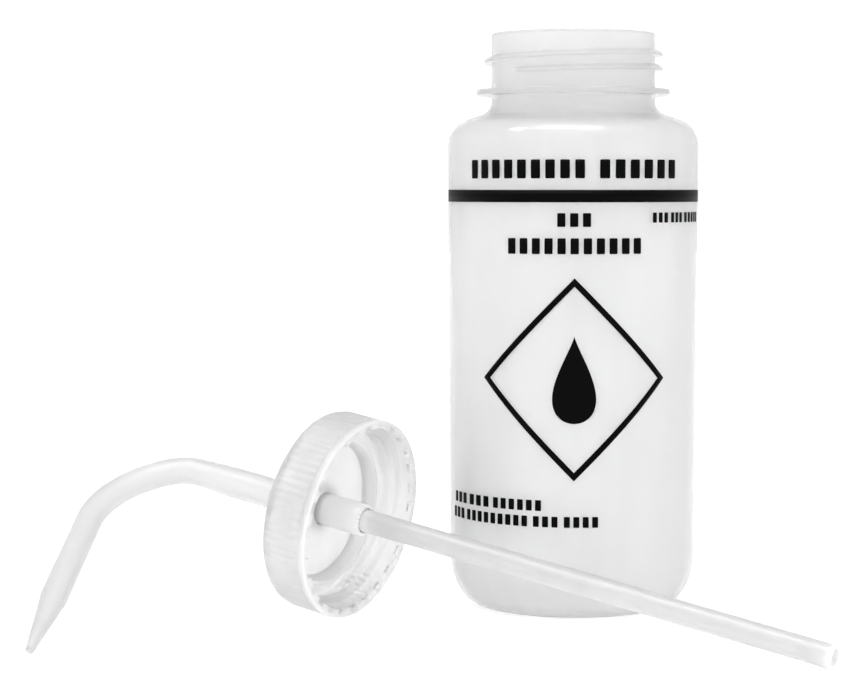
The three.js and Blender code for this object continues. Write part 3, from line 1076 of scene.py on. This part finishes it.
class MakeSpout(bpy.types.Operator):
    """Makes the bent spout with its socket, collar and drawn tip"""

    bl_idname = "wash_bottle.spout"
    bl_label = "Spout"

    def execute(self, context):
        rings, thick = spout_rings(160)
        made = skin("spout_tube", lay_down(rings), thick)
        look = {"clear": (0.7, 0.0), "scatter": 3, "thick": sizes("finish").socket}
        material = natural_ldpe("LDPE natural, moulded and bent", (14, 14, 14), **look)
        finish_piece(made, "spout", "spout", material, "spout")
        return {"FINISHED"}


def tube_rings(columns):
    """The dip tube's skin: a ring section with eased edges, turned round the closure's axis.

    The plastic counts as thick where the tube is held in the spout's socket and at its cut end.
    """
    s, c, tube, b = sizes("spout"), sizes("cap"), sizes("tube"), sizes("bottle")
    mouth = c.height + s.reach
    start, end = mouth - tube.insertion, c.disc + b.height - tube.end_gap
    bore, ease = tube.radius - tube.wall, tube.ease
    points = section(
        rounded((tube.radius, start), ease, -1, 0, 3),
        line((tube.radius, start + ease), (tube.radius, end - ease), 60),
        rounded((tube.radius, end), ease, 0, 1, 3),
        rounded((bore, end), ease, 1, 2, 3),
        line((bore, end - ease), (bore, start + ease), 60),
        rounded((bore, start), ease, 2, 3, 3),
    )
    along = points[:, 1:]
    held = fade(along, mouth + 9 * MM, mouth - 3 * MM)
    cut = 0.8 * fade(along, end - 3 * MM, end)
    return turned(points[:, :1], along, around(columns)), np.maximum(held, cut)


class MakeDipTube(bpy.types.Operator):
    """Makes the straight dip tube"""

    bl_idname = "wash_bottle.dip_tube"
    bl_label = "Dip tube"

    def execute(self, context):
        rings, thick = tube_rings(96)
        made = skin("dip_tube_extrusion", lay_down(rings), thick)
        look = {"clear": (0.45, 0.0), "scatter": 4, "thick": sizes("finish").ldpe_pale}
        material = natural_ldpe("LDPE natural, extruded", (10, 10, 10), **look)
        finish_piece(made, "dip_tube", "dip_tube", material, "dip_tube")
        return {"FINISHED"}


# ---- Stage ----


def soft_box(name, place, target, wide, tall, watts):
    """A soft box, aimed from its place at a target, that is seen only as a highlight on a gloss."""
    light = bpy.data.lights.new(name, "AREA")
    light.shape, light.size, light.size_y, light.energy = "RECTANGLE", wide, tall, watts
    made = bpy.data.objects.new(name, light)
    made.visible_diffuse, made.visible_transmission = False, False
    made.location = place
    made.rotation_euler = (Vector(target) - Vector(place)).to_track_quat("-Z", "Y").to_euler()
    bpy.context.scene.collection.objects.link(made)


def studio_world(level, overhead):
    """White light from all round, whose strength grows from level at the horizon to overhead at the top."""
    world = bpy.data.worlds.new("white studio")
    world.use_nodes = True
    tree = world.node_tree
    tree.nodes.clear()
    way = add_node(tree, "ShaderNodeTexCoord").outputs["Generated"]
    rise = add_node(tree, "ShaderNodeSeparateXYZ", {"Vector": way}).outputs["Z"]
    strength = add_node(
        tree, "ShaderNodeMapRange", {"Value": rise, "To Min": level, "To Max": overhead}
    ).outputs["Result"]
    white = add_node(tree, "ShaderNodeBackground", {"Color": (1, 1, 1, 1), "Strength": strength})
    add_node(tree, "ShaderNodeOutputWorld", {"Surface": white.outputs["Background"]})
    return world


class MakeStage(bpy.types.Operator):
    """Makes the pale floor, the soft light and the camera"""

    bl_idname = "wash_bottle.stage"
    bl_label = "Stage"

    def execute(self, context):
        scene = context.scene
        reach = 4.0
        corners = [(-reach, -reach, 0), (reach, -reach, 0), (reach, reach, 0), (-reach, reach, 0)]
        mesh = bpy.data.meshes.new("floor")
        mesh.from_pydata(corners, [], [(0, 1, 2, 3)])
        mesh.materials.append(bench_laminate())
        floor = bpy.data.objects.new("floor", mesh)
        scene.collection.objects.link(floor)

        scene.world = studio_world(1.02, 1.2)
        scene.view_settings.view_transform = "Standard"

        shoulder = (0, -0.035, 0.14)
        soft_box("strip_overhead", (-0.05, -0.30, 1.04), shoulder, 0.64, 0.18, 7)
        soft_box("lamp_left", (-0.60, -0.08, 1.00), shoulder, 0.13, 0.20, 2.6)

        looks_down = math.radians(3.86)
        lens = bpy.data.cameras.new("camera")
        lens.lens, lens.sensor_width = 100.43, 36
        camera = bpy.data.objects.new("camera", lens)
        camera.location = (-0.042, -0.7171, 0.1243)
        camera.rotation_euler = (TAU / 4 - looks_down, 0, 0)
        scene.collection.objects.link(camera)
        scene.camera = camera
        return {"FINISHED"}


# ---- Panel and registration ----

MAKERS = (MakeStage, MakeBottle, MakePrint, MakeCap, MakeSpout, MakeDipTube)


class WashBottlePanel(bpy.types.Panel):
    """Lists what makes the wash bottle, and its sizes and colours"""

    bl_idname = "VIEW3D_PT_wash_bottle"
    bl_label = "Wash Bottle"
    bl_space_type = "VIEW_3D"
    bl_region_type = "UI"
    bl_category = "Wash Bottle"

    def draw(self, context):
        layout = self.layout
        for maker in MAKERS:
            layout.operator(maker.bl_idname)
        for group, kind in GROUPS.items():
            box = layout.box()
            box.label(text=group.capitalize())
            for name in kind.__annotations__:
                box.prop(sizes(group), name)


CLASSES = (*GROUPS.values(), *MAKERS, WashBottlePanel)


def register():
    for kind in CLASSES:
        bpy.utils.register_class(kind)
    for group, kind in GROUPS.items():
        setattr(bpy.types.Scene, "wash_bottle_" + group, PointerProperty(type=kind))


def unregister():
    for group in GROUPS:
        delattr(bpy.types.Scene, "wash_bottle_" + group)
    for kind in reversed(CLASSES):
        bpy.utils.unregister_class(kind)


def main():
    register()
    for maker in MAKERS:
        family, name = maker.bl_idname.split(".")
        getattr(getattr(bpy.ops, family), name)()


if __name__ == "__main__":
    main()
